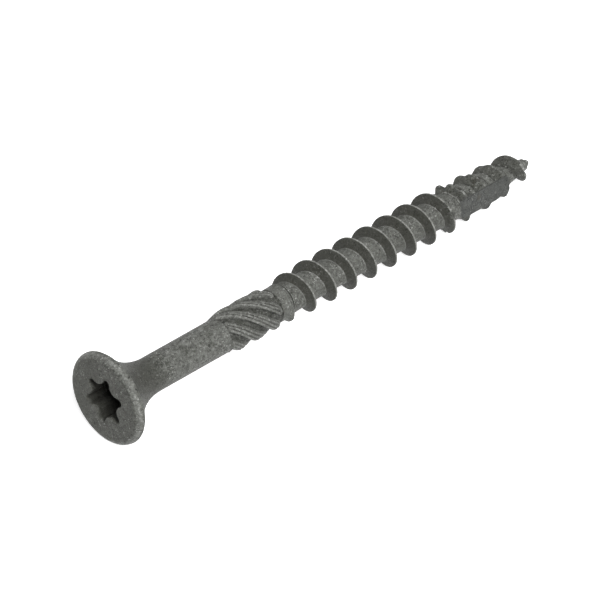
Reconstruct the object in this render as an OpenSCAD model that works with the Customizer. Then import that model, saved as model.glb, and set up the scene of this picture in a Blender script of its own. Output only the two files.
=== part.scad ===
// Construction screw with a flat countersunk head, six-lobe recess, milling ribs,
// coarse single-start wood thread, serrated front turns and a notched point.
// It is modelled about its own axis, face at zero and point upwards, then laid down.

/* [Head] */
// Greatest diameter of the head
head_d = 11.56; // [10.5:0.1:13]
// Radius of the rounded lip between the face and the rim
lip_r = 0.95; // [0.4:0.05:1.1]
// Depth below the face at which the countersink cone starts
cone_start = 1.1; // [1.1:0.05:1.6]
// Half angle of the countersink cone
cone_angle = 45; // [40:1:48]
// Depth below the face at which the concave neck runs into the shank
neck_end = 7.3; // [6.6:0.1:9]

/* [Recess] */
// Width of the six-lobe recess across opposite lobe tips
lobe_across = 5.75; // [5.2:0.05:6.2]
// Width of the recess across opposite flutes
flute_across = 4.1; // [3.7:0.05:4.3]
// Radius at the tip of each lobe
lobe_tip_r = 0.46; // [0.35:0.01:0.5]
// Depth of the lobed walls
recess_depth = 3.2; // [2.4:0.1:3.4]
// Depth of the conical bottom below the lobed walls
recess_cone = 0.7; // [0.4:0.1:1]
// Turn of the recess about the axis
recess_turn = 6.7; // [0:1:59]

/* [Shank] */
// Overall length from the face to the point
length = 70; // [66:1:80]
// Diameter of the plain shank
shank_d = 4.33; // [4.1:0.05:4.7]
// Depth below the face at which the milling ribs start
rib_start = 17.8; // [14:0.1:18]
// Length of the milling ribs
rib_length = 8.2; // [6:0.1:8.4]
// Diameter over the milling ribs
rib_d = 5.0; // [4.8:0.05:5.4]
// Diameter at the bottom of the grooves between the ribs
groove_d = 4.0; // [3.7:0.05:4.05]
// Number of milling ribs
rib_count = 6; // [4:1:8]
// Twist of the ribs in degrees a millimetre
rib_twist = 18.5; // [10:0.5:22]
// Turn of the first groove about the axis where the ribs start
rib_turn = 227; // [0:1:359]

/* [Thread] */
// Outer diameter of the thread
thread_d = 5.9; // [5.5:0.05:6.2]
// Core diameter of the threaded length
core_d = 3.74; // [3.5:0.02:3.9]
// Diameter of the neck between the ribs and the thread
thread_neck_d = 4.2; // [4.1:0.05:4.4]
// Length of the slope from that neck down to the core
thread_neck_slope = 1.2; // [0.4:0.1:1.6]
// Axial distance between turns
pitch = 3.33; // [2.8:0.01:4]
// Width of the thread at its root
ridge_root_w = 1.3; // [1:0.05:1.6]
// Width of the thread at its crest
ridge_crest_w = 0.26; // [0.16:0.02:0.4]
// Radial height of the soft fillet at the foot of the thread
ridge_foot_h = 0.2; // [0.1:0.02:0.3]
// Length over which the thread rises to its full height
thread_rise = 7.6; // [6:0.1:9]
// Turn of the thread crest about the axis, as a rise along it
thread_shift = 1.8; // [0:0.1:3.3]

/* [Point] */
// Length over which the thread narrows towards the point
taper_length = 14; // [12:0.5:20]
// Length over which the core narrows towards the point
core_taper_length = 7.8; // [7:0.1:10]
// Radius of the blunt point
point_r = 0.6; // [0.45:0.05:0.7]
// Distance before the point at which the serrated crest starts
serrated_length = 16.5; // [12:0.5:20]
// Number of serrations in a turn
serration_count = 12; // [8:4:16]
// Depth of a serration
serration_depth = 0.4; // [0.2:0.05:0.5]
// Distance between the point notch and the point
notch_gap = 4.2; // [3.8:0.1:5.5]
// Length of the point notch
notch_length = 9.4; // [7:0.1:10]
// Distance from the axis to the corner of the notch
notch_corner_r = 1.45; // [1.2:0.05:1.6]
// Turn of the wall of the notch about the axis
notch_wall_turn = 229; // [180:1:270]
// Turn of the direction that the floor of the notch faces
notch_floor_turn = 256; // [245:1:275]

/* [Hidden] */
head_r = head_d / 2;
shank_r = shank_d / 2;
thread_r = thread_d / 2;
core_r = core_d / 2;
thread_neck_r = thread_neck_d / 2;
steel = "#5f615a";
recess_shade = "#2b2b27";
round_fn = 96;
// Where the revolved shapes close, away from the ends of the thread strip
seam_turn = 94;
// How far a shape reaches into its neighbour where the two are joined
bury = 0.1;

// Concave neck: an arc tangent to the cone and to the shank
rim_chamfer = lip_r / 4;
cone_r = head_r - rim_chamfer;
neck_r = (cone_r - tan(cone_angle) * (neck_end - cone_start) - shank_r)
    / (1 - cos(cone_angle) - tan(cone_angle) * sin(cone_angle));
neck_top = neck_end - neck_r * sin(cone_angle);

// Places along the axis that follow from the lengths
rib_end = rib_start + rib_length;
thread_begin = rib_end - 1.6;
thread_neck_end = thread_begin + 2.2;
core_begin = thread_neck_end + thread_neck_slope;
taper_start = length - taper_length;
core_taper_start = length - core_taper_length;
serration_start = length - serrated_length;
notch_start = length - notch_gap - notch_length;

// Thread lattice: columns step round the axis, stations cross one pitch
column_count = 48;
// Width of the soft foot on either side of the thread
foot_w = 0.22;
// Length at the very tip that no thread reaches
point_bare = 1.5;
station = [-ridge_root_w / 2, -ridge_root_w / 2 + foot_w, -ridge_crest_w / 2,
    ridge_crest_w / 2, ridge_root_w / 2 - foot_w, ridge_root_w / 2];
station_count = len(station);
first_turn = ceil((thread_begin - thread_shift) / pitch);
last_turn = floor((length - point_bare - thread_shift) / pitch);
column_total = (last_turn - first_turn) * column_count;
ridge_begin = thread_shift + first_turn * pitch;
// The ellipse that the crest follows ends a little beyond the point
nose_length = taper_length * 1.107;

function smooth(t) = let (u = min(1, max(0, t))) u * u * (3 - 2 * u);

// Core radius: straight, then a cone down to the blunt point
function core_at(z) =
    z < core_taper_start ? core_r
    : core_r - (core_r - point_r) * (z - core_taper_start) / (length - core_taper_start);

// Share of the height with which the thread starts
first_height = 0.12;

// Crest radius: rises behind the ribs, full, then narrows like an ellipse to the point
function crest_at(z) =
    let (rise = smooth((z - thread_begin) / thread_rise),
         nose = max(0, (z - taper_start) / nose_length),
         full = thread_r * sqrt(max(0.02, 1 - nose * nose)))
    core_at(z) + (full - core_at(z)) * (first_height + (1 - first_height) * rise);

// Serrations deepen over one turn from where they start
function serration_at(z, turn) =
    serration_depth * smooth((z - serration_start) / pitch) * (1 - cos(serration_count * turn)) / 2;

// The least height of the thread, and the share of a low thread that is its foot
least_height = 0.05;
foot_share = 0.4;

function ridge_height(z, turn) =
    max(least_height, crest_at(z) - core_at(z) - serration_at(z, turn));

function ridge_radius(z, turn, j) =
    let (h = ridge_height(z, turn))
    j == 0 || j == station_count - 1 ? core_at(z)
    : j == 1 || j == station_count - 2 ? core_at(z) + min(ridge_foot_h, h * foot_share)
    : core_at(z) + h;

// Turns of the crest that touch the floor, and the lean that the lowest one gives
floor_turns = [for (k = [first_turn + 3:1:last_turn - 1]) thread_shift + k * pitch];
function lean_for(z) =
    let (a = head_r - lip_r - crest_at(z), b = z - lip_r)
    atan(a / b) + asin(lip_r / norm([a, b]));
lean = min([for (z = floor_turns) lean_for(z)]);
rest_height = lip_r * sin(lean) + (head_r - lip_r) * cos(lean) + lip_r;
rear_reach = lip_r * cos(lean) - (head_r - lip_r) * sin(lean) - lip_r;
front_reach = length * cos(lean);

// Half section of the head, neck and shank
module shank_section() {
    difference() {
        union() {
            polygon([[0, 0], [head_r - lip_r, 0], [head_r - lip_r, lip_r], [head_r, lip_r],
                [cone_r, cone_start], [cone_r - tan(cone_angle) * (neck_top - cone_start), neck_top],
                [shank_r, neck_end], [shank_r, rib_start + 2 * bury],
                [core_r - bury, rib_start + 2 * bury], [core_r - bury, rib_end - 4 * bury],
                [thread_neck_r, rib_end - 4 * bury], [thread_neck_r, thread_neck_end],
                [core_r - bury, core_begin], [0, core_begin]]);
            translate([head_r - lip_r, lip_r])
                circle(r = lip_r, $fn = round_fn);
        }
        translate([shank_r + neck_r, neck_end])
            circle(r = neck_r, $fn = 4 * round_fn);
    }
}

module head_and_shank() {
    color(steel)
        rotate([0, 0, seam_turn])
            rotate_extrude($fn = round_fn)
                intersection() {
                    shank_section();
                    square([head_r + 1, length]);
                }
}

// Outline of the six-lobe recess, as arcs of lobes and flutes that meet smoothly
lobe_at = lobe_across / 2 - lobe_tip_r;
flute_r = (lobe_at * lobe_at + flute_across * flute_across / 4
    - lobe_at * flute_across * cos(30) - lobe_tip_r * lobe_tip_r)
    / (2 * lobe_tip_r - flute_across + 2 * lobe_at * cos(30));
flute_at = flute_across / 2 + flute_r;
meet = [flute_at * cos(30) - lobe_at, flute_at * sin(30)];
lobe_span = atan2(meet[1], meet[0]);

function arc(centre, r, from, to, steps) =
    [for (k = [0:steps]) centre + r * [cos(from + (to - from) * k / steps),
        sin(from + (to - from) * k / steps)]];

function spin(points, turn) =
    [for (p = points) [p[0] * cos(turn) - p[1] * sin(turn), p[0] * sin(turn) + p[1] * cos(turn)]];

module recess_outline() {
    lobe = arc([lobe_at, 0], lobe_tip_r, -lobe_span, lobe_span, 8);
    flute = arc(flute_at * [cos(30), sin(30)], flute_r,
        lobe_span + 180, 240 - lobe_span, 6);
    inner = [for (k = [1:5]) flute[k]];
    polygon([for (k = [0:5]) each spin(concat(lobe, inner), 60 * k)]);
}

module recess() {
    color(recess_shade)
        rotate([0, 0, recess_turn]) {
            translate([0, 0, -1])
                linear_extrude(recess_depth + 1)
                    recess_outline();
            translate([0, 0, recess_depth - 0.01])
                cylinder(r1 = flute_across / 2, r2 = 0, h = recess_cone, $fn = round_fn);
        }
}

// Milling ribs: a twisted lattice with a steep start and a short run-out
rib_steps = 8;
rib_rows = 14;
rib_columns = rib_count * rib_steps;
// Length of the hidden lead-in, of the steep start, the height that it reaches at once, and the run-out
rib_lead = 0.15;
rib_wall = 0.12;
rib_start_share = 0.6;
rib_run_out = 0.38;
// Height across one groove and one rib with its furrow
rib_face = [0, 0.12, 1, 0.9, 1, 0.88, 0.96, 0.5];

function rib_row_z(i) =
    i == 0 ? rib_start - rib_lead
    : i == 1 ? rib_start
    : i == rib_rows ? rib_end
    : rib_start + rib_wall + (rib_length - rib_wall - rib_run_out) * (i - 2) / (rib_rows - 3);

function rib_radius(i, c) =
    let (low = groove_d / 2, rise = rib_face[c % rib_steps] * (rib_d / 2 - low))
    i == 0 || i == rib_rows ? core_r + bury / 5
    : i == 1 ? low + rise * rib_start_share
    : low + rise;

module milling_ribs() {
    points = [for (i = [0:rib_rows]) for (c = [0:rib_columns - 1])
        let (z = rib_row_z(i), r = rib_radius(i, c),
             t = rib_turn + 360 * c / rib_columns + rib_twist * (z - rib_start))
        [r * cos(t), r * sin(t), z]];
    low_cap = [for (c = [0:rib_columns - 1]) c];
    high_cap = [for (c = [rib_columns - 1:-1:0]) rib_rows * rib_columns + c];
    side = [for (i = [0:rib_rows - 1]) for (c = [0:rib_columns - 1])
        let (n = (c + 1) % rib_columns, b = i * rib_columns, t = b + rib_columns)
        each [[b + c, t + c, t + n], [b + c, t + n, b + n]]];
    color(steel)
        polyhedron(points, concat([low_cap, high_cap], side), convexity = 10);
}

// Wood thread: one helical strip whose upper edge is the next turn's lower edge
module wood_thread() {
    m = station_count;
    n = column_count;
    points = [for (i = [0:column_total]) for (j = [0:m - 1])
        let (turn = 360 * i / n, z = ridge_begin + pitch * i / n + station[j],
             r = ridge_radius(z, turn, j))
        [r * cos(turn), r * sin(turn), z]];
    rear = len(points);
    front = rear + 1;
    strip = [for (i = [0:column_total - 1]) for (j = [0:m - 2])
        each [[i * m + j, i * m + j + 1, (i + 1) * m + j + 1],
            [i * m + j, (i + 1) * m + j + 1, (i + 1) * m + j]]];
    seam = [for (i = [0:column_total - n - 1])
        each [[i * m + m - 1, (i + n) * m, (i + 1 + n) * m],
            [i * m + m - 1, (i + 1 + n) * m, (i + 1) * m + m - 1]]];
    rear_loop = concat([for (i = [0:n]) i * m], [for (j = [m - 1:-1:1]) j]);
    last = column_total;
    front_loop = concat([for (i = [last - n:last]) i * m + m - 1],
        [for (j = [m - 2:-1:0]) last * m + j]);
    rear_cap = [for (k = [0:len(rear_loop) - 1])
        [rear, rear_loop[k], rear_loop[(k + 1) % len(rear_loop)]]];
    front_cap = [for (k = [0:len(front_loop) - 1])
        [front, front_loop[(k + 1) % len(front_loop)], front_loop[k]]];
    color(steel)
        polyhedron(concat(points, [[0, 0, ridge_begin + pitch / 2],
            [0, 0, ridge_begin + pitch * last / n - ridge_root_w / 4]]),
            concat(strip, seam, rear_cap, front_cap), convexity = 20);
}

// Blunt point, a rounded cone that the last turn runs out on
tip_shoulder = 0.6 * point_r;
tip_flat_r = 0.62 * point_r;
tip_round = 0.15 * point_r;
// Where it starts inside the thread's core
tip_from = core_taper_start + 3;

module point() {
    inset = bury / 5;
    color(steel)
        rotate([0, 0, seam_turn])
            rotate_extrude($fn = round_fn)
                polygon([[0, tip_from], [core_at(tip_from) - inset, tip_from],
                    [core_at(length - tip_shoulder) - inset, length - tip_shoulder],
                    [tip_flat_r, length - tip_round], [0, length]]);
}

// Notch milled beside the point: a wall that runs to the axis and a flat floor
module point_notch() {
    corner = notch_corner_r * [cos(notch_wall_turn), sin(notch_wall_turn)];
    along = notch_floor_turn + 90;
    reach = 2 * thread_r;
    color(steel)
        translate([0, 0, notch_start])
            linear_extrude(notch_length)
                polygon([corner,
                    corner + reach * [cos(notch_wall_turn), sin(notch_wall_turn)],
                    corner + reach * [cos(notch_floor_turn), sin(notch_floor_turn)]
                        + reach * [cos(along), sin(along)],
                    corner + reach * [cos(along), sin(along)]]);
}

module lay_down() {
    translate([-(rear_reach + front_reach) / 2, 0, rest_height])
        rotate([0, 90 + lean, 0])
            children();
}

module screw() {
    lay_down()
        union() {
            difference() {
                head_and_shank();
                recess();
            }
            milling_ribs();
            difference() {
                union() {
                    wood_thread();
                    point();
                }
                point_notch();
            }
        }
}

screw();
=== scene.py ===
import math

import bmesh
import bpy
from mathutils import Matrix, Vector, noise


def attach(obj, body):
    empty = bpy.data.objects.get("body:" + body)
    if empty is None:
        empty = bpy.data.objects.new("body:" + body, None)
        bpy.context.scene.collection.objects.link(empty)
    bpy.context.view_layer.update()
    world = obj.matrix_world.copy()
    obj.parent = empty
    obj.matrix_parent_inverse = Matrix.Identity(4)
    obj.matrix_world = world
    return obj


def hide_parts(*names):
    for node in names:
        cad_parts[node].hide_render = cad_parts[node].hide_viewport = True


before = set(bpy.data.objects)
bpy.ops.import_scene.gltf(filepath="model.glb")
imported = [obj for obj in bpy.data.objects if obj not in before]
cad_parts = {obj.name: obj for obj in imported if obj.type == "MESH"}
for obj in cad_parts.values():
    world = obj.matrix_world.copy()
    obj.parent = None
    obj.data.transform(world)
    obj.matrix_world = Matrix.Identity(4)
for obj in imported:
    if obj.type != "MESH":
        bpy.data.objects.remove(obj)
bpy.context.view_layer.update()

mm = 0.001
columns = 180  # steps round the axis, 2 degrees each
print("frame loaded")

# Sizes are in millimetres. Depths run from the face of the head along the screw's own axis,
# and turns are degrees about it. The solids use the same values.
head = {
    "radius": 5.78,
    "lip": 0.95,
    "lipSteps": 10,
    "coneStart": 1.1,
    "coneRadius": 5.5425,
    "coneAngle": 45,
    "neckEnd": 7.3,
    "neckSteps": 16,
    "faceRings": [3.2, 3.45, 3.7, 3.95, 4.2, 4.45, 4.65],
}
recess = {
    "across": 5.92,
    "flutes": 4.1,
    "tipRadius": 0.54,
    "mouthRound": 0.16,
    "depth": 3.2,
    "cone": 0.7,
    "turn": 6.7,
    "wallRings": 9,
}
shank = {"radius": 2.165, "length": 70.0, "ringGap": 0.2}
ribs = {
    "start": 18.0,
    "length": 8.2,
    "top": 2.64,
    "groove": 2.05,
    "turn": 228,
    "count": 6,
    "twistColumns": 82,
    "valley": 0.27,
    "peak": 0.8,
    "furrows": 0.11,
    "lateRib": 1,
    "lateStart": 0.45,
}
thread = {
    "radius": 2.95,
    "core": 1.87,
    "neck": 2.15,
    "neckEnd": 28.0,
    "pitch": 3.33,
    "shift": 1.8,
    "rise": [(27.1, 2.15), (27.9, 2.6), (29.3, 2.76), (33.0, 2.95)],
    "bead": 0.04,
    "from": 28.5,
    "to": 69.2,
    # distance from the middle of the crest, and the share of the height reached there
    "profile": [(0, 1), (0.09, 1), (0.14, 0.95), (0.3, 0.6), (0.45, 0.25), (0.56, 0.09),
                (0.64, 0.02), (0.7, 0)],
    "stations": [-1.665, -1.35, -1.0, -0.86, -0.78, -0.7, -0.64, -0.56, -0.45, -0.3, -0.14, -0.09,
                 0.09, 0.14, 0.3, 0.45, 0.56, 0.7, 0.88, 1.25, 1.665],
}
point = {
    "ellipseStart": 56.0,
    "taperStart": 54.0,
    "front": 2.1,
    "noseStart": 66.6,
    "noseEnd": 68.8,
    "coreTaperStart": 62.2,
    "radius": 0.6,
    "nub": 0.46,
    "widening": 0.3,
    "serrationStart": 53.5,
    "serrations": 9,
    "serrationTurn": 30,
    # length along the screw and depth of the serrations there
    "serrationDepths": [(54.6, 0), (56.2, 0.62), (58.2, 0.6), (59.6, 0.36), (60.7, 0.32),
                        (61.15, 0.04), (61.5, 0.04), (61.9, 0.28), (63, 0.14), (65, 0.1), (66, 0)],
    # first cuts in the crest: turn about the axis with whole turns, half width, depth
    "cuts": [(15 * 360 + 217, 7, 0.45), (15 * 360 + 247, 12, 0.6), (15 * 360 + 333, 8, 0.3),
             (19 * 360 + 254, 13, 0.4)],
    "notchStart": 56.4,
    "notchEnd": 65.8,
    "notchCorner": 1.45,
    "notchWall": 228,
    "notchFloor": 258,
    "sidePlane": (1.62, 300, 56.6, 62.6),
}


def smooth(t):
    t = min(1.0, max(0.0, t))
    return t * t * (3 - 2 * t)


def mix(a, b, t):
    return a + (b - a) * t


def track(knots, z):
    for (a, low), (b, high) in zip(knots, knots[1:]):
        if z < b:
            return mix(low, high, min(1.0, max(0.0, (z - a) / (b - a))))
    return knots[-1][1]


def coreAt(z):
    if z < point["coreTaperStart"]:
        step = smooth((z - thread["neckEnd"]) / 0.09)
        wide = mix(1.97, thread["core"], smooth((z - 28.4) / 3))
        return mix(thread["neck"], wide, step)
    t = (z - point["coreTaperStart"]) / (shank["length"] - point["coreTaperStart"])
    return mix(thread["core"], point["radius"], t)


def ellipseCrest(z):
    run = (shank["length"] - point["ellipseStart"]) * 1.107
    return thread["radius"] * math.sqrt(max(0.02, 1 - max(0.0, (z - point["ellipseStart"]) / run) ** 2))


def frontCrest(z):
    t = min(1.0, max(0.0, (z - point["taperStart"]) / (shank["length"] - point["taperStart"])))
    nose = max(0.0, (z - point["noseStart"]) / (point["noseEnd"] - point["noseStart"]))
    slim = mix(thread["radius"], point["front"], t) * math.sqrt(max(0.0, 1 - nose * nose))
    return min(slim, ellipseCrest(z) + 0.25)


def crestAt(z):
    return track(thread["rise"], z) if z < 33 else frontCrest(z)


# The lean at which the rim of the head and the thread both touch the floor.
def leanFor(z):
    a = head["radius"] - head["lip"] - ellipseCrest(z)
    b = z - head["lip"]
    return math.atan(a / b) + math.asin(head["lip"] / math.hypot(a, b))


lean = min(leanFor(thread["shift"] + k * thread["pitch"]) for k in range(10, 20))
restHeight = (head["lip"] * math.sin(lean) + (head["radius"] - head["lip"]) * math.cos(lean)
              + head["lip"])
rearReach = (head["lip"] * math.cos(lean) - (head["radius"] - head["lip"]) * math.sin(lean)
             - head["lip"])
frontReach = shank["length"] * math.cos(lean)
faceCentre = Vector((-(rearReach + frontReach) / 2, 0, restHeight)) * mm
layDown = (Matrix.Translation(faceCentre)
           @ Matrix.Rotation(math.pi / 2 + lean, 4, "Y")
           @ Matrix.Scale(mm, 4))


# Radius of the six-lobe recess at an angle from a lobe's middle, from tangent arcs.
def lobeRadius(angle):
    tip = recess["tipRadius"]
    lobeAt = recess["across"] / 2 - tip
    half = recess["flutes"] / 2
    c30 = math.cos(math.pi / 6)
    flute = ((lobeAt ** 2 + half ** 2 - 2 * lobeAt * half * c30 - tip ** 2)
             / (2 * tip - 2 * half + 2 * lobeAt * c30))
    fluteAt = half + flute
    a = abs((angle + math.pi / 6) % (math.pi / 3) - math.pi / 6)
    toFlute = Vector((fluteAt * c30 - lobeAt, fluteAt * 0.5)).normalized()
    meet = Vector((lobeAt, 0)) + toFlute * tip
    if a < math.atan2(meet.y, meet.x):
        return lobeAt * math.cos(a) + math.sqrt(max(0, tip ** 2 - (lobeAt * math.sin(a)) ** 2))
    b = math.pi / 6 - a
    return fluteAt * math.cos(b) - math.sqrt(max(0, flute ** 2 - (fluteAt * math.sin(b)) ** 2))


# How far across a milling rib an angle lies, from 0 to 1, or below 0 in the groove beside it.
def acrossRib(angle):
    step = 360 / ribs["count"]
    phase = ((angle - ribs["turn"]) % step) / step
    return (phase - ribs["valley"]) / (1 - ribs["valley"])


def untwisted(angle, z):
    along = min(1.0, max(0.0, (z - ribs["start"]) / ribs["length"]))
    return angle - ribs["twistColumns"] * 360 / columns * along


def furrowAt(across, z):
    furrow = (0.5 - 0.5 * math.cos(2 * math.pi * across * 3.5)) ** 2
    fade = smooth((across - 0.1) / 0.08) * smooth((0.93 - across) / 0.06)
    return furrow * fade * smooth((z - ribs["start"]) / 0.4) * smooth(
        (ribs["start"] + ribs["length"] - z) / 0.8)


# Height of the milling ribs over the shank, with furrows along their backs.
def ribRadius(angle, z):
    start, end = ribs["start"], ribs["start"] + ribs["length"]
    base = mix(shank["radius"], ribs["groove"], smooth((z - start) / 0.3))
    base = mix(base, thread["neck"], smooth((z - end + 0.1) / 0.25))
    base = mix(base, coreAt(z), smooth((z - thread["neckEnd"] + 0.01) / 0.02))
    line = max(0.0, 1 - abs(z - thread["neckEnd"] + 0.04) / 0.06) \
        + max(0.0, 1 - abs(z - thread["neckEnd"] + 0.34) / 0.07)
    base += 0.045 * line * smooth((z - end - 0.5) / 0.5)
    across = acrossRib(angle)
    if across < 0 or z <= start or z >= end:
        return base
    # the back climbs to a peak near the steep side
    back = 0.3 + 0.7 * math.sin(math.pi / 2 * min(1.0, across / ribs["peak"]))
    back -= 0.12 * smooth((across - ribs["peak"]) / (0.98 - ribs["peak"]))
    sides = smooth(across / 0.09) * smooth((1 - across) / 0.045)
    corner = max(0.0, 1 - across / 0.3)
    rib = (angle - ribs["turn"]) % 360 // (360 / ribs["count"])
    late = ribs["lateStart"] if rib == ribs["lateRib"] else 0.0
    opening = smooth((z - start - late - 0.7 * corner * corner) / 0.1)
    opening *= mix(0.62, 1.0, smooth((z - start) / 2.2))
    roundness = (2 * across - 1) ** 2
    closing = min(1.0, max(0.0, (z - end + 0.75 + 0.45 * roundness) / 0.75)) ** 2
    closing = math.sqrt(max(0.0, 1 - closing))
    height = (ribs["top"] - base) * back - ribs["furrows"] * furrowAt(across, z)
    return base + max(0.0, height) * sides * opening * closing


def serrationAt(angle, z):
    wave = 0.5 + 0.5 * math.cos(math.radians(point["serrations"] * (angle - point["serrationTurn"])))
    depth = track(point["serrationDepths"], z) * wave ** 1.4
    along = (z - thread["shift"]) / thread["pitch"] * 360
    for place, half, deep in point["cuts"]:
        depth = max(depth, deep * max(0.0, 1 - abs(along - place) / half))
    return depth


def crestOffset(angle, z):
    turn = ((z - thread["shift"]) / thread["pitch"] - angle / 360) % 1
    return (turn - 1 if turn > 0.5 else turn) * thread["pitch"]


# The front turns are broader: their stations move apart.
def widened(offset, crestZ):
    wide = point["widening"] * smooth((crestZ - point["serrationStart"]) / (2 * thread["pitch"]))
    wide *= 1 - smooth((crestZ - 66.9) / 0.6)
    near = min(abs(offset), 0.7)
    far = (abs(offset) - near) / (1.665 - 0.7)
    return math.copysign(near * (1 + wide / 0.7) + far * (1.665 - 0.7 - wide), offset)


def threadRadius(angle, crestZ, offset):
    z = crestZ + widened(offset, crestZ)
    core = coreAt(z)
    height = crestAt(crestZ) - core - serrationAt(angle, crestZ)
    if height <= 0:
        return core
    d = abs(offset)
    share = 0.0
    for (a, high), (b, low) in zip(thread["profile"], thread["profile"][1:]):
        if a <= d <= b:
            share = mix(high, low, (d - a) / (b - a))
            break
    # front turns are rounded over instead of flat, with fuller flanks
    blunt = smooth((crestZ - point["serrationStart"]) / (2 * thread["pitch"]))
    full = math.sqrt(max(0.0, 1 - min(1.0, d / 0.66) ** 2))
    share = mix(share, full, 0.75 * blunt)
    bead = thread["bead"] * max(0.0, 1 - abs(offset + 0.78) / 0.08)
    return core + height * share + bead * smooth((z - 28.6) / 2) * smooth((63 - z) / 4)


# The notch beside the point: a wall that runs to the axis, and a flat floor.
def notchLimit(angle, z):
    over = (angle - point["notchWall"]) % 360
    reach = (point["notchFloor"] - point["notchWall"]) + 88
    if over > reach or not point["notchStart"] < z < point["notchEnd"]:
        return 100.0
    floor = point["notchCorner"] * math.cos(math.radians(point["notchFloor"] - point["notchWall"]))
    ends = min(z - point["notchStart"], point["notchEnd"] - z)
    lift = 0.9 * (1 - math.sqrt(max(0.0, 1 - max(0.0, 1 - ends / 0.7) ** 2)))
    return (floor + lift) / math.cos(math.radians(over - point["notchFloor"] + point["notchWall"]))


def shankSkin(angle, z):
    skin = ribRadius(untwisted(angle, z), z)
    if z > thread["rise"][0][0] - 0.8:
        offset = crestOffset(angle, z)
        if z - offset > thread["rise"][0][0]:
            skin = max(skin, threadRadius(angle, z - offset, offset))
    return skin


# Metal pushed up beside the notch fills the gaps between the turns there.
def sideSkin(angle, z):
    radius, turn, start, end = point["sidePlane"]
    away = math.cos(math.radians(angle - turn))
    if away < 0.35:
        return 0.0
    ends = smooth((z - start) / 0.8) * smooth((end + 3.5 - z) / 3.5)
    return (coreAt(z) + (2.17 - coreAt(z)) * ends) * min(1.0, 0.62 + 0.5 * away)


def frontSkin(angle, crestZ, offset):
    z = crestZ + widened(offset, crestZ)
    skin = max(threadRadius(angle, crestZ, offset), sideSkin(angle, z))
    return min(skin, notchLimit(angle, z))


# Half section from the middle of the recess out over the lip and down to the first ridge.
def shankChain():
    nominal = 2.3  # stands for the lobed outline until the rings are shaped
    low, mouth = recess["depth"], recess["mouthRound"]
    points = [(r, low + recess["cone"] * (1 - r / 2.0)) for r in (0, 0.5, 1.0, 1.5, 1.85)]
    points += [(nominal, mix(low, mouth, k / recess["wallRings"])) for k in range(recess["wallRings"])]
    for k in range(5):
        t = math.pi / 2 * k / 4
        points.append((nominal + mouth * (1 - math.cos(t)), mouth * (1 - math.sin(t))))
    points += [(r, 0) for r in head["faceRings"]]
    for k in range(head["lipSteps"] + 1):
        t = math.pi / 2 * k / head["lipSteps"]
        points.append((head["radius"] - head["lip"] * (1 - math.sin(t)), head["lip"] * (1 - math.cos(t))))
    points.append((mix(head["radius"], head["coneRadius"], 0.25), mix(head["lip"], head["coneStart"], 0.7)))
    points.append((head["coneRadius"], head["coneStart"]))
    slope = math.radians(head["coneAngle"])
    neckRadius = ((head["coneRadius"] - math.tan(slope) * (head["neckEnd"] - head["coneStart"])
                   - shank["radius"]) / (1 - math.cos(slope) - math.tan(slope) * math.sin(slope)))
    coneEnd = head["neckEnd"] - neckRadius * math.sin(slope)
    for k in range(1, 6):
        z = mix(head["coneStart"], coneEnd, k / 6)
        points.append((head["coneRadius"] - math.tan(slope) * (z - head["coneStart"]), z))
    for k in range(head["neckSteps"] + 1):
        t = slope * (1 - k / head["neckSteps"])
        points.append((shank["radius"] + neckRadius * (1 - math.cos(t)),
                       head["neckEnd"] - neckRadius * math.sin(t)))
    z = head["neckEnd"] + shank["ringGap"]
    while z < ribs["start"] - 0.15:
        points.append((shank["radius"], z))
        z += shank["ringGap"]
    start, end = ribs["start"], ribs["start"] + ribs["length"]
    for dz in (-0.1, 0, 0.03, 0.06, 0.1, 0.16, 0.24, 0.34):
        points.append((shank["radius"], start + dz))
    z = start + 0.46
    while z < end - 0.75:
        points.append((shank["radius"], z))
        z += 0.14
    for dz in (-0.7, -0.58, -0.46, -0.35, -0.25, -0.17, -0.1, -0.05, -0.02, 0, 0.1):
        points.append((shank["radius"], end + dz))
    z = end + 0.24
    while z < thread["neckEnd"] - 0.45:
        points.append((shank["radius"], z))
        z += 0.09
    z = thread["neckEnd"] - 0.42
    while z < thread["from"] - 0.01:
        points.append((shank["radius"], z))
        z += 0.035
    points.append((shank["radius"], thread["from"]))
    return points


def startChain(bm, points):
    verts = [bm.verts.new((r, 0, z)) for r, z in points]
    return verts + [bm.edges.new(pair) for pair in zip(verts, verts[1:])]


def placeAt(vert, radius, angle, z):
    a = math.radians(angle)
    vert.co = (radius * math.cos(a), radius * math.sin(a), z)


def angleOf(vert):
    return math.degrees(math.atan2(vert.co.y, vert.co.x)) % 360


bm = bmesh.new()
bmesh.ops.spin(bm, geom=startChain(bm, shankChain()), cent=(0, 0, 0), axis=(0, 0, 1),
               angle=2 * math.pi, steps=columns, use_merge=True)
mouthTop = recess["mouthRound"] + 0.001
for vert in bm.verts:
    r, z, angle = math.hypot(vert.co.x, vert.co.y), vert.co.z, angleOf(vert)
    if z < recess["depth"] + 0.001 and 2.2 < r < 2.6:
        spread = r - 2.3 if z < mouthTop else 0
        placeAt(vert, lobeRadius(math.radians(angle - recess["turn"])) + spread, angle, z)
    elif z > ribs["start"] - 0.12:
        angle += angle - untwisted(angle, z)
        placeAt(vert, shankSkin(angle, z), angle, z)
print("head, recess, shank and ribs turned")

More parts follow.
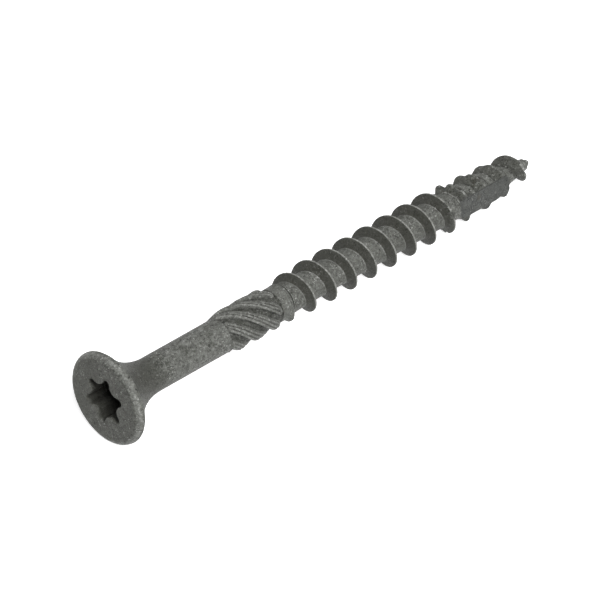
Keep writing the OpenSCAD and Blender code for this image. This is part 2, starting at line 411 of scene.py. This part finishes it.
# One turn of the thread is wound from its section, then repeated up the shank.
turn = bmesh.new()
bmesh.ops.spin(turn, geom=startChain(turn, [(thread["core"], thread["shift"] + s)
                                            for s in thread["stations"]]),
               cent=(0, 0, 0), axis=(0, 0, 1), dvec=(0, 0, thread["pitch"] / columns),
               angle=2 * math.pi, steps=columns, use_merge=False)
oneTurn = turn.verts[:] + turn.edges[:] + turn.faces[:]
for k in range(6, 21):
    copy = bmesh.ops.duplicate(turn, geom=oneTurn)["geom"]
    bmesh.ops.translate(turn, vec=(0, 0, k * thread["pitch"]),
                        verts=[g for g in copy if isinstance(g, bmesh.types.BMVert)])
bmesh.ops.delete(turn, geom=[g for g in oneTurn if isinstance(g, bmesh.types.BMVert)], context="VERTS")
for vert in turn.verts:
    angle = round(angleOf(vert) * columns / 360) * 360 / columns
    # back to the exact station, then held between the two rings that close the thread
    offset = crestOffset(angle, vert.co.z)
    station = min(thread["stations"], key=lambda s: abs(s - offset))
    crestZ = vert.co.z - offset
    z = crestZ + widened(station, crestZ)
    if z <= thread["from"]:
        placeAt(vert, shankSkin(angle, thread["from"]), angle, thread["from"])
    elif z >= thread["to"]:
        placeAt(vert, coreAt(thread["to"]), angle, thread["to"])
    else:
        placeAt(vert, frontSkin(angle, crestZ, station), angle, z)
wound = bpy.data.meshes.new("thread")
turn.to_mesh(wound)
turn.free()
bm.from_mesh(wound)
bpy.data.meshes.remove(wound)
print("thread wound")

tipRadius = coreAt(thread["to"])
tipPoints = [(tipRadius, thread["to"]), (point["nub"] * 1.15, 69.35), (point["nub"], 69.55),
             (point["nub"] * 0.85, 69.75), (point["nub"] * 0.55, 69.92), (0, shank["length"])]
bmesh.ops.spin(bm, geom=startChain(bm, tipPoints), cent=(0, 0, 0), axis=(0, 0, 1),
               angle=2 * math.pi, steps=columns, use_merge=True)
bmesh.ops.remove_doubles(bm, verts=bm.verts, dist=0.002)
bmesh.ops.recalc_face_normals(bm, faces=bm.faces)
openEdges = [e for e in bm.edges if not e.is_manifold]
print("edges left open:", len(openEdges))

# Marks for the finish: crests, edges and the rim lighter, partly wear and partly painted highlight, and
# painted shade down in the recess, the grooves, the flanks, the face and the neck.
wearAndHighlightLayer = bm.verts.layers.float.new("wearAndHighlight")
hollowShadeLayer = bm.verts.layers.float.new("darkMarksAndShade")
paintedShadeLayer = bm.verts.layers.float.new("paintedShade")
milledLayer = bm.verts.layers.float.new("milled")
coarseLayer = bm.verts.layers.float.new("coarse")
for vert in bm.verts:
    r, z, angle = math.hypot(vert.co.x, vert.co.y), vert.co.z, angleOf(vert)
    vert[coarseLayer] = smooth((z - 7) / 3) * smooth((19 - z) / 1.5)
    if z > thread["from"]:
        offset = crestOffset(angle, z)
        wide = widened(0.68, z) - 0.68
        serration = serrationAt(angle, z - offset)
        # painted shade in the serration valleys
        if abs(offset) < 0.3 and serration > 0.12:
            vert[hollowShadeLayer] = 0.5 * smooth(serration / 0.5)
        # painted highlight along the crests, partly wear
        elif abs(offset) < 0.12 and r > coreAt(z) + 0.15:
            vert[wearAndHighlightLayer] = 0.8
        # painted shade on the head-side flanks of the turns, less on the front turns
        elif -0.68 - wide < offset < 0:
            vert[paintedShadeLayer] = 1.0 if z < 54 else 0.6
        # painted highlight on the bead before each flank
        elif abs(offset + 0.78) < 0.05:
            vert[wearAndHighlightLayer] = 0.6
        # painted shade at the feet of the front turns
        elif z > 50 and 0.6 < abs(offset) - wide < 0.85:
            vert[hollowShadeLayer] = 0.5
        # the core lightened with painted light
        else:
            vert[wearAndHighlightLayer] = 0.13
        if r > 1 and abs(r - notchLimit(angle, z)) < 0.002:
            vert[milledLayer] = 1.0
            vert[paintedShadeLayer] = vert[wearAndHighlightLayer] = vert[hollowShadeLayer] = 0.0
            # painted shade along the foot of the notch wall
            if r < 1.6 and abs(angle - point["notchWall"] - 1) < 3:
                vert[hollowShadeLayer] = 0.8
    # painted shade in the step where the ribs end
    elif abs(z - ribs["start"] - ribs["length"] - 0.06) < 0.14:
        vert[hollowShadeLayer] = 0.6
    elif ribs["start"] < z < ribs["start"] + ribs["length"]:
        # painted shade in the grooves and furrows of the ribs; the rib backs lighter, partly wear and
        # partly painted highlight
        furrow = furrowAt(acrossRib(untwisted(angle, z)), z)
        vert[hollowShadeLayer] = max(0.4 * smooth((2.24 - r) / 0.12), 0.4 * furrow)
        vert[wearAndHighlightLayer] = 0.45 * smooth((r - 2.25) / 0.1) * (1 - furrow)
    # painted shade in the groove where the thread begins
    elif -0.02 < z - thread["neckEnd"] < 0.3:
        vert[hollowShadeLayer] = 0.9 if r < 2.3 else 0.0
    # painted highlight along the middle of the rim, with some wear
    elif r > 4.9 and 0.1 < z < 1.2:
        vert[wearAndHighlightLayer] = 0.1 + 0.4 * smooth(1 - abs(z - 0.45) / 0.35)
    # painted glint flecks on the plain shank
    elif 9 < z < 28.5:
        vert[wearAndHighlightLayer] = 0.15
    # painted shade on the face of the head, and darker down the recess, cone and neck
    elif z < 9 and r < 5.5:
        vert[paintedShadeLayer] = 0.52 if z < 0.2 else 0.85 * smooth((9 - z) / 3.5)
    # painted shade down in the recess
    if z < recess["depth"] + recess["cone"] + 0.01 and r < 3.1:
        vert[hollowShadeLayer] = 0.65 * smooth((z - 0.05) / 0.3)

# Forged and coated skin: soft unevenness, pushed inward only.
bm.normal_update()
for vert in bm.verts:
    p = vert.co
    broad = abs(noise.noise(p * 0.5))
    fine = abs(noise.noise(p * 1.9 + Vector((7, 3, 5))))
    vert.co = p - vert.normal * (0.02 * broad + 0.02 * fine)
bm.transform(layDown)
mesh = bpy.data.meshes.new("coatedScrew")
bm.to_mesh(mesh)
bm.free()
for face in mesh.polygons:
    face.use_smooth = True
mesh.set_sharp_from_angle(angle=math.radians(40))
screw = bpy.data.objects.new("coatedScrew", mesh)
bpy.context.scene.collection.objects.link(screw)
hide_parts("screw")
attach(screw, "root")
print("screw made:", sum(len(f.vertices) - 2 for f in mesh.polygons), "triangles")


def addNode(tree, kind, inputs=None, **settings):
    node = tree.nodes.new(kind)
    for key, value in settings.items():
        setattr(node, key, value)
    for key, value in (inputs or {}).items():
        node.inputs[key].default_value = value
    return node


coating = {
    "dark": (0.034, 0.036, 0.027, 1),
    "mid": (0.116, 0.12, 0.106, 1),
    "light": (0.21, 0.215, 0.2, 1),
    # colour of the painted glints on the coating's flakes
    "paintedGlint": (0.52, 0.525, 0.5, 1),
    # near black for hairline cracks and pits, and the colour of the painted shade in hollows
    "darkMarksAndShade": (0.014, 0.014, 0.011, 1),
    # colour of the painted shade on the flanks, face and neck
    "paintedShade": (0.038, 0.038, 0.031, 1),
    "milled": (0.055, 0.058, 0.061, 1),
    "brown": (0.1, 0.078, 0.045, 1),
    "roughness": 0.46,
    "metallic": 0.15,
}


def makeCoating():
    material = bpy.data.materials.new("coatedSteel")
    material.use_nodes = True
    tree = material.node_tree
    shader = tree.nodes["Principled BSDF"]
    link = tree.links.new
    place = addNode(tree, "ShaderNodeTexCoord")

    drawn = addNode(tree, "ShaderNodeMapping", {"Scale": (0.28, 1, 1)})
    link(place.outputs["Object"], drawn.inputs["Vector"])

    def noiseAt(scale, detail, roughness, distortion=0.0, vector=place.outputs["Object"]):
        node = addNode(tree, "ShaderNodeTexNoise", {
            "Scale": scale, "Detail": detail, "Roughness": roughness, "Distortion": distortion})
        link(vector, node.inputs["Vector"])
        return node.outputs["Fac"]

    def rangeOf(value, low, high, toLow, toHigh):
        node = addNode(tree, "ShaderNodeMapRange", {
            "From Min": low, "From Max": high, "To Min": toLow, "To Max": toHigh})
        link(value, node.inputs["Value"])
        return node.outputs["Result"]

    def blend(fac, a, b, kind="MIX"):
        node = addNode(tree, "ShaderNodeMix", data_type="RGBA", blend_type=kind)
        for socket, value in ((node.inputs["Factor"], fac), (node.inputs["A"], a), (node.inputs["B"], b)):
            if isinstance(value, (tuple, float)):
                socket.default_value = value
            else:
                link(value, socket)
        return node.outputs["Result"]

    def math2(operation, a, b):
        node = addNode(tree, "ShaderNodeMath", operation=operation)
        for socket, value in zip(node.inputs, (a, b)):
            if isinstance(value, float):
                socket.default_value = value
            else:
                link(value, socket)
        return node.outputs["Value"]

    broad = noiseAt(330, 3, 0.6)
    coarse = addNode(tree, "ShaderNodeAttribute", attribute_name="coarse").outputs["Fac"]
    mottle = blend(coarse, noiseAt(2300, 5, 0.75, 0.5), noiseAt(1500, 6, 0.82, 0.7))
    fine = noiseAt(4600, 4, 0.8)
    glintSpecks = noiseAt(3300, 3, 0.85, 0.6)
    pits = noiseAt(2600, 2, 0.6, 1.2)
    streaks = noiseAt(3600, 4, 0.7, 0.3, drawn.outputs["Vector"])
    wearAndHighlight = addNode(tree, "ShaderNodeAttribute", attribute_name="wearAndHighlight").outputs["Fac"]
    darkMarksAndShade = addNode(tree, "ShaderNodeAttribute", attribute_name="darkMarksAndShade").outputs["Fac"]
    paintedShade = addNode(tree, "ShaderNodeAttribute", attribute_name="paintedShade").outputs["Fac"]

    milled = addNode(tree, "ShaderNodeAttribute", attribute_name="milled").outputs["Fac"]

    def line(value, middle, width):
        away = addNode(tree, "ShaderNodeMath", {1: middle}, operation="SUBTRACT")
        link(value, away.inputs[0])
        size = addNode(tree, "ShaderNodeMath", operation="ABSOLUTE")
        link(away.outputs["Value"], size.inputs[0])
        return rangeOf(size.outputs["Value"], 0.0, width, 1.0, 0.0)

    patch = rangeOf(broad, 0.42, 0.6, 0.25, 1.0)
    hairlines = math2("MULTIPLY", line(noiseAt(1100, 4, 0.6, 0.8), 0.5, 0.04), patch)
    base = blend(rangeOf(mottle, 0.36, 0.64, 0.0, 1.0), coating["dark"], coating["light"])
    base = blend(rangeOf(coarse, 0.0, 1.0, 0.58, 0.1), base, coating["mid"])
    base = blend(rangeOf(broad, 0.5, 0.32, 0.0, 0.35), base, coating["dark"])
    base = blend(math2("MULTIPLY", rangeOf(streaks, 0.5, 0.62, 0.0, 0.7), patch), base, coating["light"])
    base = blend(rangeOf(fine, 0.52, 0.64, 0.0, 0.5), base, coating["light"])
    base = blend(rangeOf(fine, 0.46, 0.38, 0.0, 0.6), base, coating["dark"])
    # bright specks: painted glints of the coating's flakes
    base = blend(math2("MULTIPLY", rangeOf(glintSpecks, 0.6, 0.63, 0.0, 1.0), patch), base, coating["paintedGlint"])
    base = blend(math2("MULTIPLY", hairlines, 0.75), base, coating["darkMarksAndShade"])
    base = blend(rangeOf(pits, 0.36, 0.31, 0.0, 0.9), base, coating["darkMarksAndShade"])
    blots = noiseAt(1300, 4, 0.7, 1.6)
    base = blend(math2("MULTIPLY", rangeOf(blots, 0.42, 0.34, 0.0, 0.8), coarse), base, coating["dark"])
    base = blend(math2("MULTIPLY", rangeOf(blots, 0.56, 0.64, 0.0, 0.75), coarse), base, coating["light"])
    base = blend(rangeOf(broad, 0.68, 0.74, 0.0, 0.5), base, coating["brown"])
    # painted highlights with some wear on crests, bead, rim and rib backs, carried by the glint specks
    wornAndLit = math2("MULTIPLY", wearAndHighlight, rangeOf(glintSpecks, 0.42, 0.6, 0.2, 0.75))
    base = blend(wornAndLit, base, coating["paintedGlint"])
    base = blend(math2("MULTIPLY", milled, 0.45), base, coating["milled"])
    # painted shade on the flanks, face and neck
    base = blend(math2("MULTIPLY", paintedShade, 0.72), base, coating["paintedShade"])
    # painted shade down in the recess, grooves, valleys and steps
    base = blend(math2("MULTIPLY", darkMarksAndShade, 0.9), base, coating["darkMarksAndShade"])
    link(base, shader.inputs["Base Color"])
    link(rangeOf(fine, 0.3, 0.7, coating["roughness"] - 0.1, coating["roughness"] + 0.14),
         shader.inputs["Roughness"])
    shader.inputs["Metallic"].default_value = coating["metallic"]
    shader.inputs["Specular IOR Level"].default_value = 0.14

    height = math2("ADD", math2("MULTIPLY", mottle, 0.8), math2("MULTIPLY", fine, 0.5))
    height = math2("ADD", height, math2("MULTIPLY", streaks, 0.5))
    height = math2("ADD", height, rangeOf(pits, 0.31, 0.4, -0.35, 0.0))
    bump = addNode(tree, "ShaderNodeBump", {"Strength": 1.0, "Distance": 0.00028})
    link(height, bump.inputs["Height"])
    link(bump.outputs["Normal"], shader.inputs["Normal"])
    return material


screw.data.materials.append(makeCoating())
print("coating made")

# The floor is pale for diffuse light, and white with a soft shadow for the camera and glints.
floor = {"size": 3.0, "glow": 0.75, "white": (0.9, 0.9, 0.9, 1), "bounce": (0.32, 0.32, 0.32, 1)}


def seenWhite(tree):
    path = addNode(tree, "ShaderNodeLightPath")
    total = addNode(tree, "ShaderNodeMath", operation="ADD")
    capped = addNode(tree, "ShaderNodeMath", operation="ADD", use_clamp=True)
    tree.links.new(path.outputs["Is Camera Ray"], total.inputs[0])
    tree.links.new(path.outputs["Is Glossy Ray"], total.inputs[1])
    tree.links.new(total.outputs["Value"], capped.inputs[0])
    tree.links.new(path.outputs["Is Transmission Ray"], capped.inputs[1])
    return capped.outputs["Value"]


def makeFloor():
    grid = bmesh.new()
    bmesh.ops.create_grid(grid, x_segments=2, y_segments=2, size=floor["size"] / 2)
    floorMesh = bpy.data.meshes.new("floor")
    grid.to_mesh(floorMesh)
    grid.free()
    plane = bpy.data.objects.new("floor", floorMesh)
    bpy.context.scene.collection.objects.link(plane)
    material = bpy.data.materials.new("paleFloor")
    material.use_nodes = True
    tree = material.node_tree
    tree.nodes.remove(tree.nodes["Principled BSDF"])
    out = tree.nodes["Material Output"]
    lit = addNode(tree, "ShaderNodeBsdfDiffuse", {"Color": floor["white"]})
    plain = addNode(tree, "ShaderNodeBsdfDiffuse", {"Color": floor["bounce"]})
    glow = addNode(tree, "ShaderNodeEmission", {"Color": (1, 1, 1, 1), "Strength": floor["glow"]})
    white = addNode(tree, "ShaderNodeAddShader")
    choice = addNode(tree, "ShaderNodeMixShader")
    tree.links.new(lit.outputs[0], white.inputs[0])
    tree.links.new(glow.outputs[0], white.inputs[1])
    tree.links.new(seenWhite(tree), choice.inputs["Fac"])
    tree.links.new(plain.outputs[0], choice.inputs[1])
    tree.links.new(white.outputs[0], choice.inputs[2])
    tree.links.new(choice.outputs[0], out.inputs["Surface"])
    plane.data.materials.append(material)


makeFloor()

studio = {
    "ambient": 0.22,
    "key": 21.0,
    "keyPlace": (-0.36, -0.78, 0.9),
    "keySize": 0.6,
}


def makeWorld():
    world = bpy.data.worlds.new("studio")
    bpy.context.scene.world = world
    world.use_nodes = True
    tree = world.node_tree
    back = tree.nodes["Background"]
    out = tree.nodes["World Output"]
    back.inputs["Color"].default_value = (1, 1, 1, 1)
    back.inputs["Strength"].default_value = studio["ambient"]
    white = addNode(tree, "ShaderNodeBackground", {"Color": (1, 1, 1, 1), "Strength": 1.0})
    choice = addNode(tree, "ShaderNodeMixShader")
    tree.links.new(seenWhite(tree), choice.inputs["Fac"])
    tree.links.new(back.outputs[0], choice.inputs[1])
    tree.links.new(white.outputs[0], choice.inputs[2])
    tree.links.new(choice.outputs[0], out.inputs["Surface"])


makeWorld()


def areaLamp(name, place, size, power):
    lamp = bpy.data.lights.new(name, "AREA")
    lamp.shape = "DISK"
    lamp.size = size
    lamp.energy = power
    holder = bpy.data.objects.new(name, lamp)
    bpy.context.scene.collection.objects.link(holder)
    holder.location = place
    holder.rotation_euler = (-Vector(place)).to_track_quat("-Z", "Y").to_euler()


areaLamp("key", studio["keyPlace"], studio["keySize"], studio["key"])

# The camera that the photograph was taken with, fitted to the screw's outline.
camera = {
    "lens": 281.8,
    "fromFace": (-0.269708, -0.302610, 0.338221),
    "forward": (0.55048698, 0.55377988, -0.62473348),
    "rise": 0.00013,
}
cameraData = bpy.data.cameras.new("camera")
cameraData.lens = camera["lens"]
cameraData.sensor_width = 36
cameraData.clip_start = 0.01
eye = bpy.data.objects.new("camera", cameraData)
bpy.context.scene.collection.objects.link(eye)
aim = Vector(camera["forward"]).normalized()
right = aim.cross((0, 0, 1)).normalized()
up = right.cross(aim)
eye.location = faceCentre + Vector(camera["fromFace"]) + up * camera["rise"]
eye.rotation_euler = Matrix((right, up, -aim)).transposed().to_euler()
bpy.context.scene.camera = eye
bpy.context.scene.view_settings.view_transform = "Standard"
print("camera and light set")
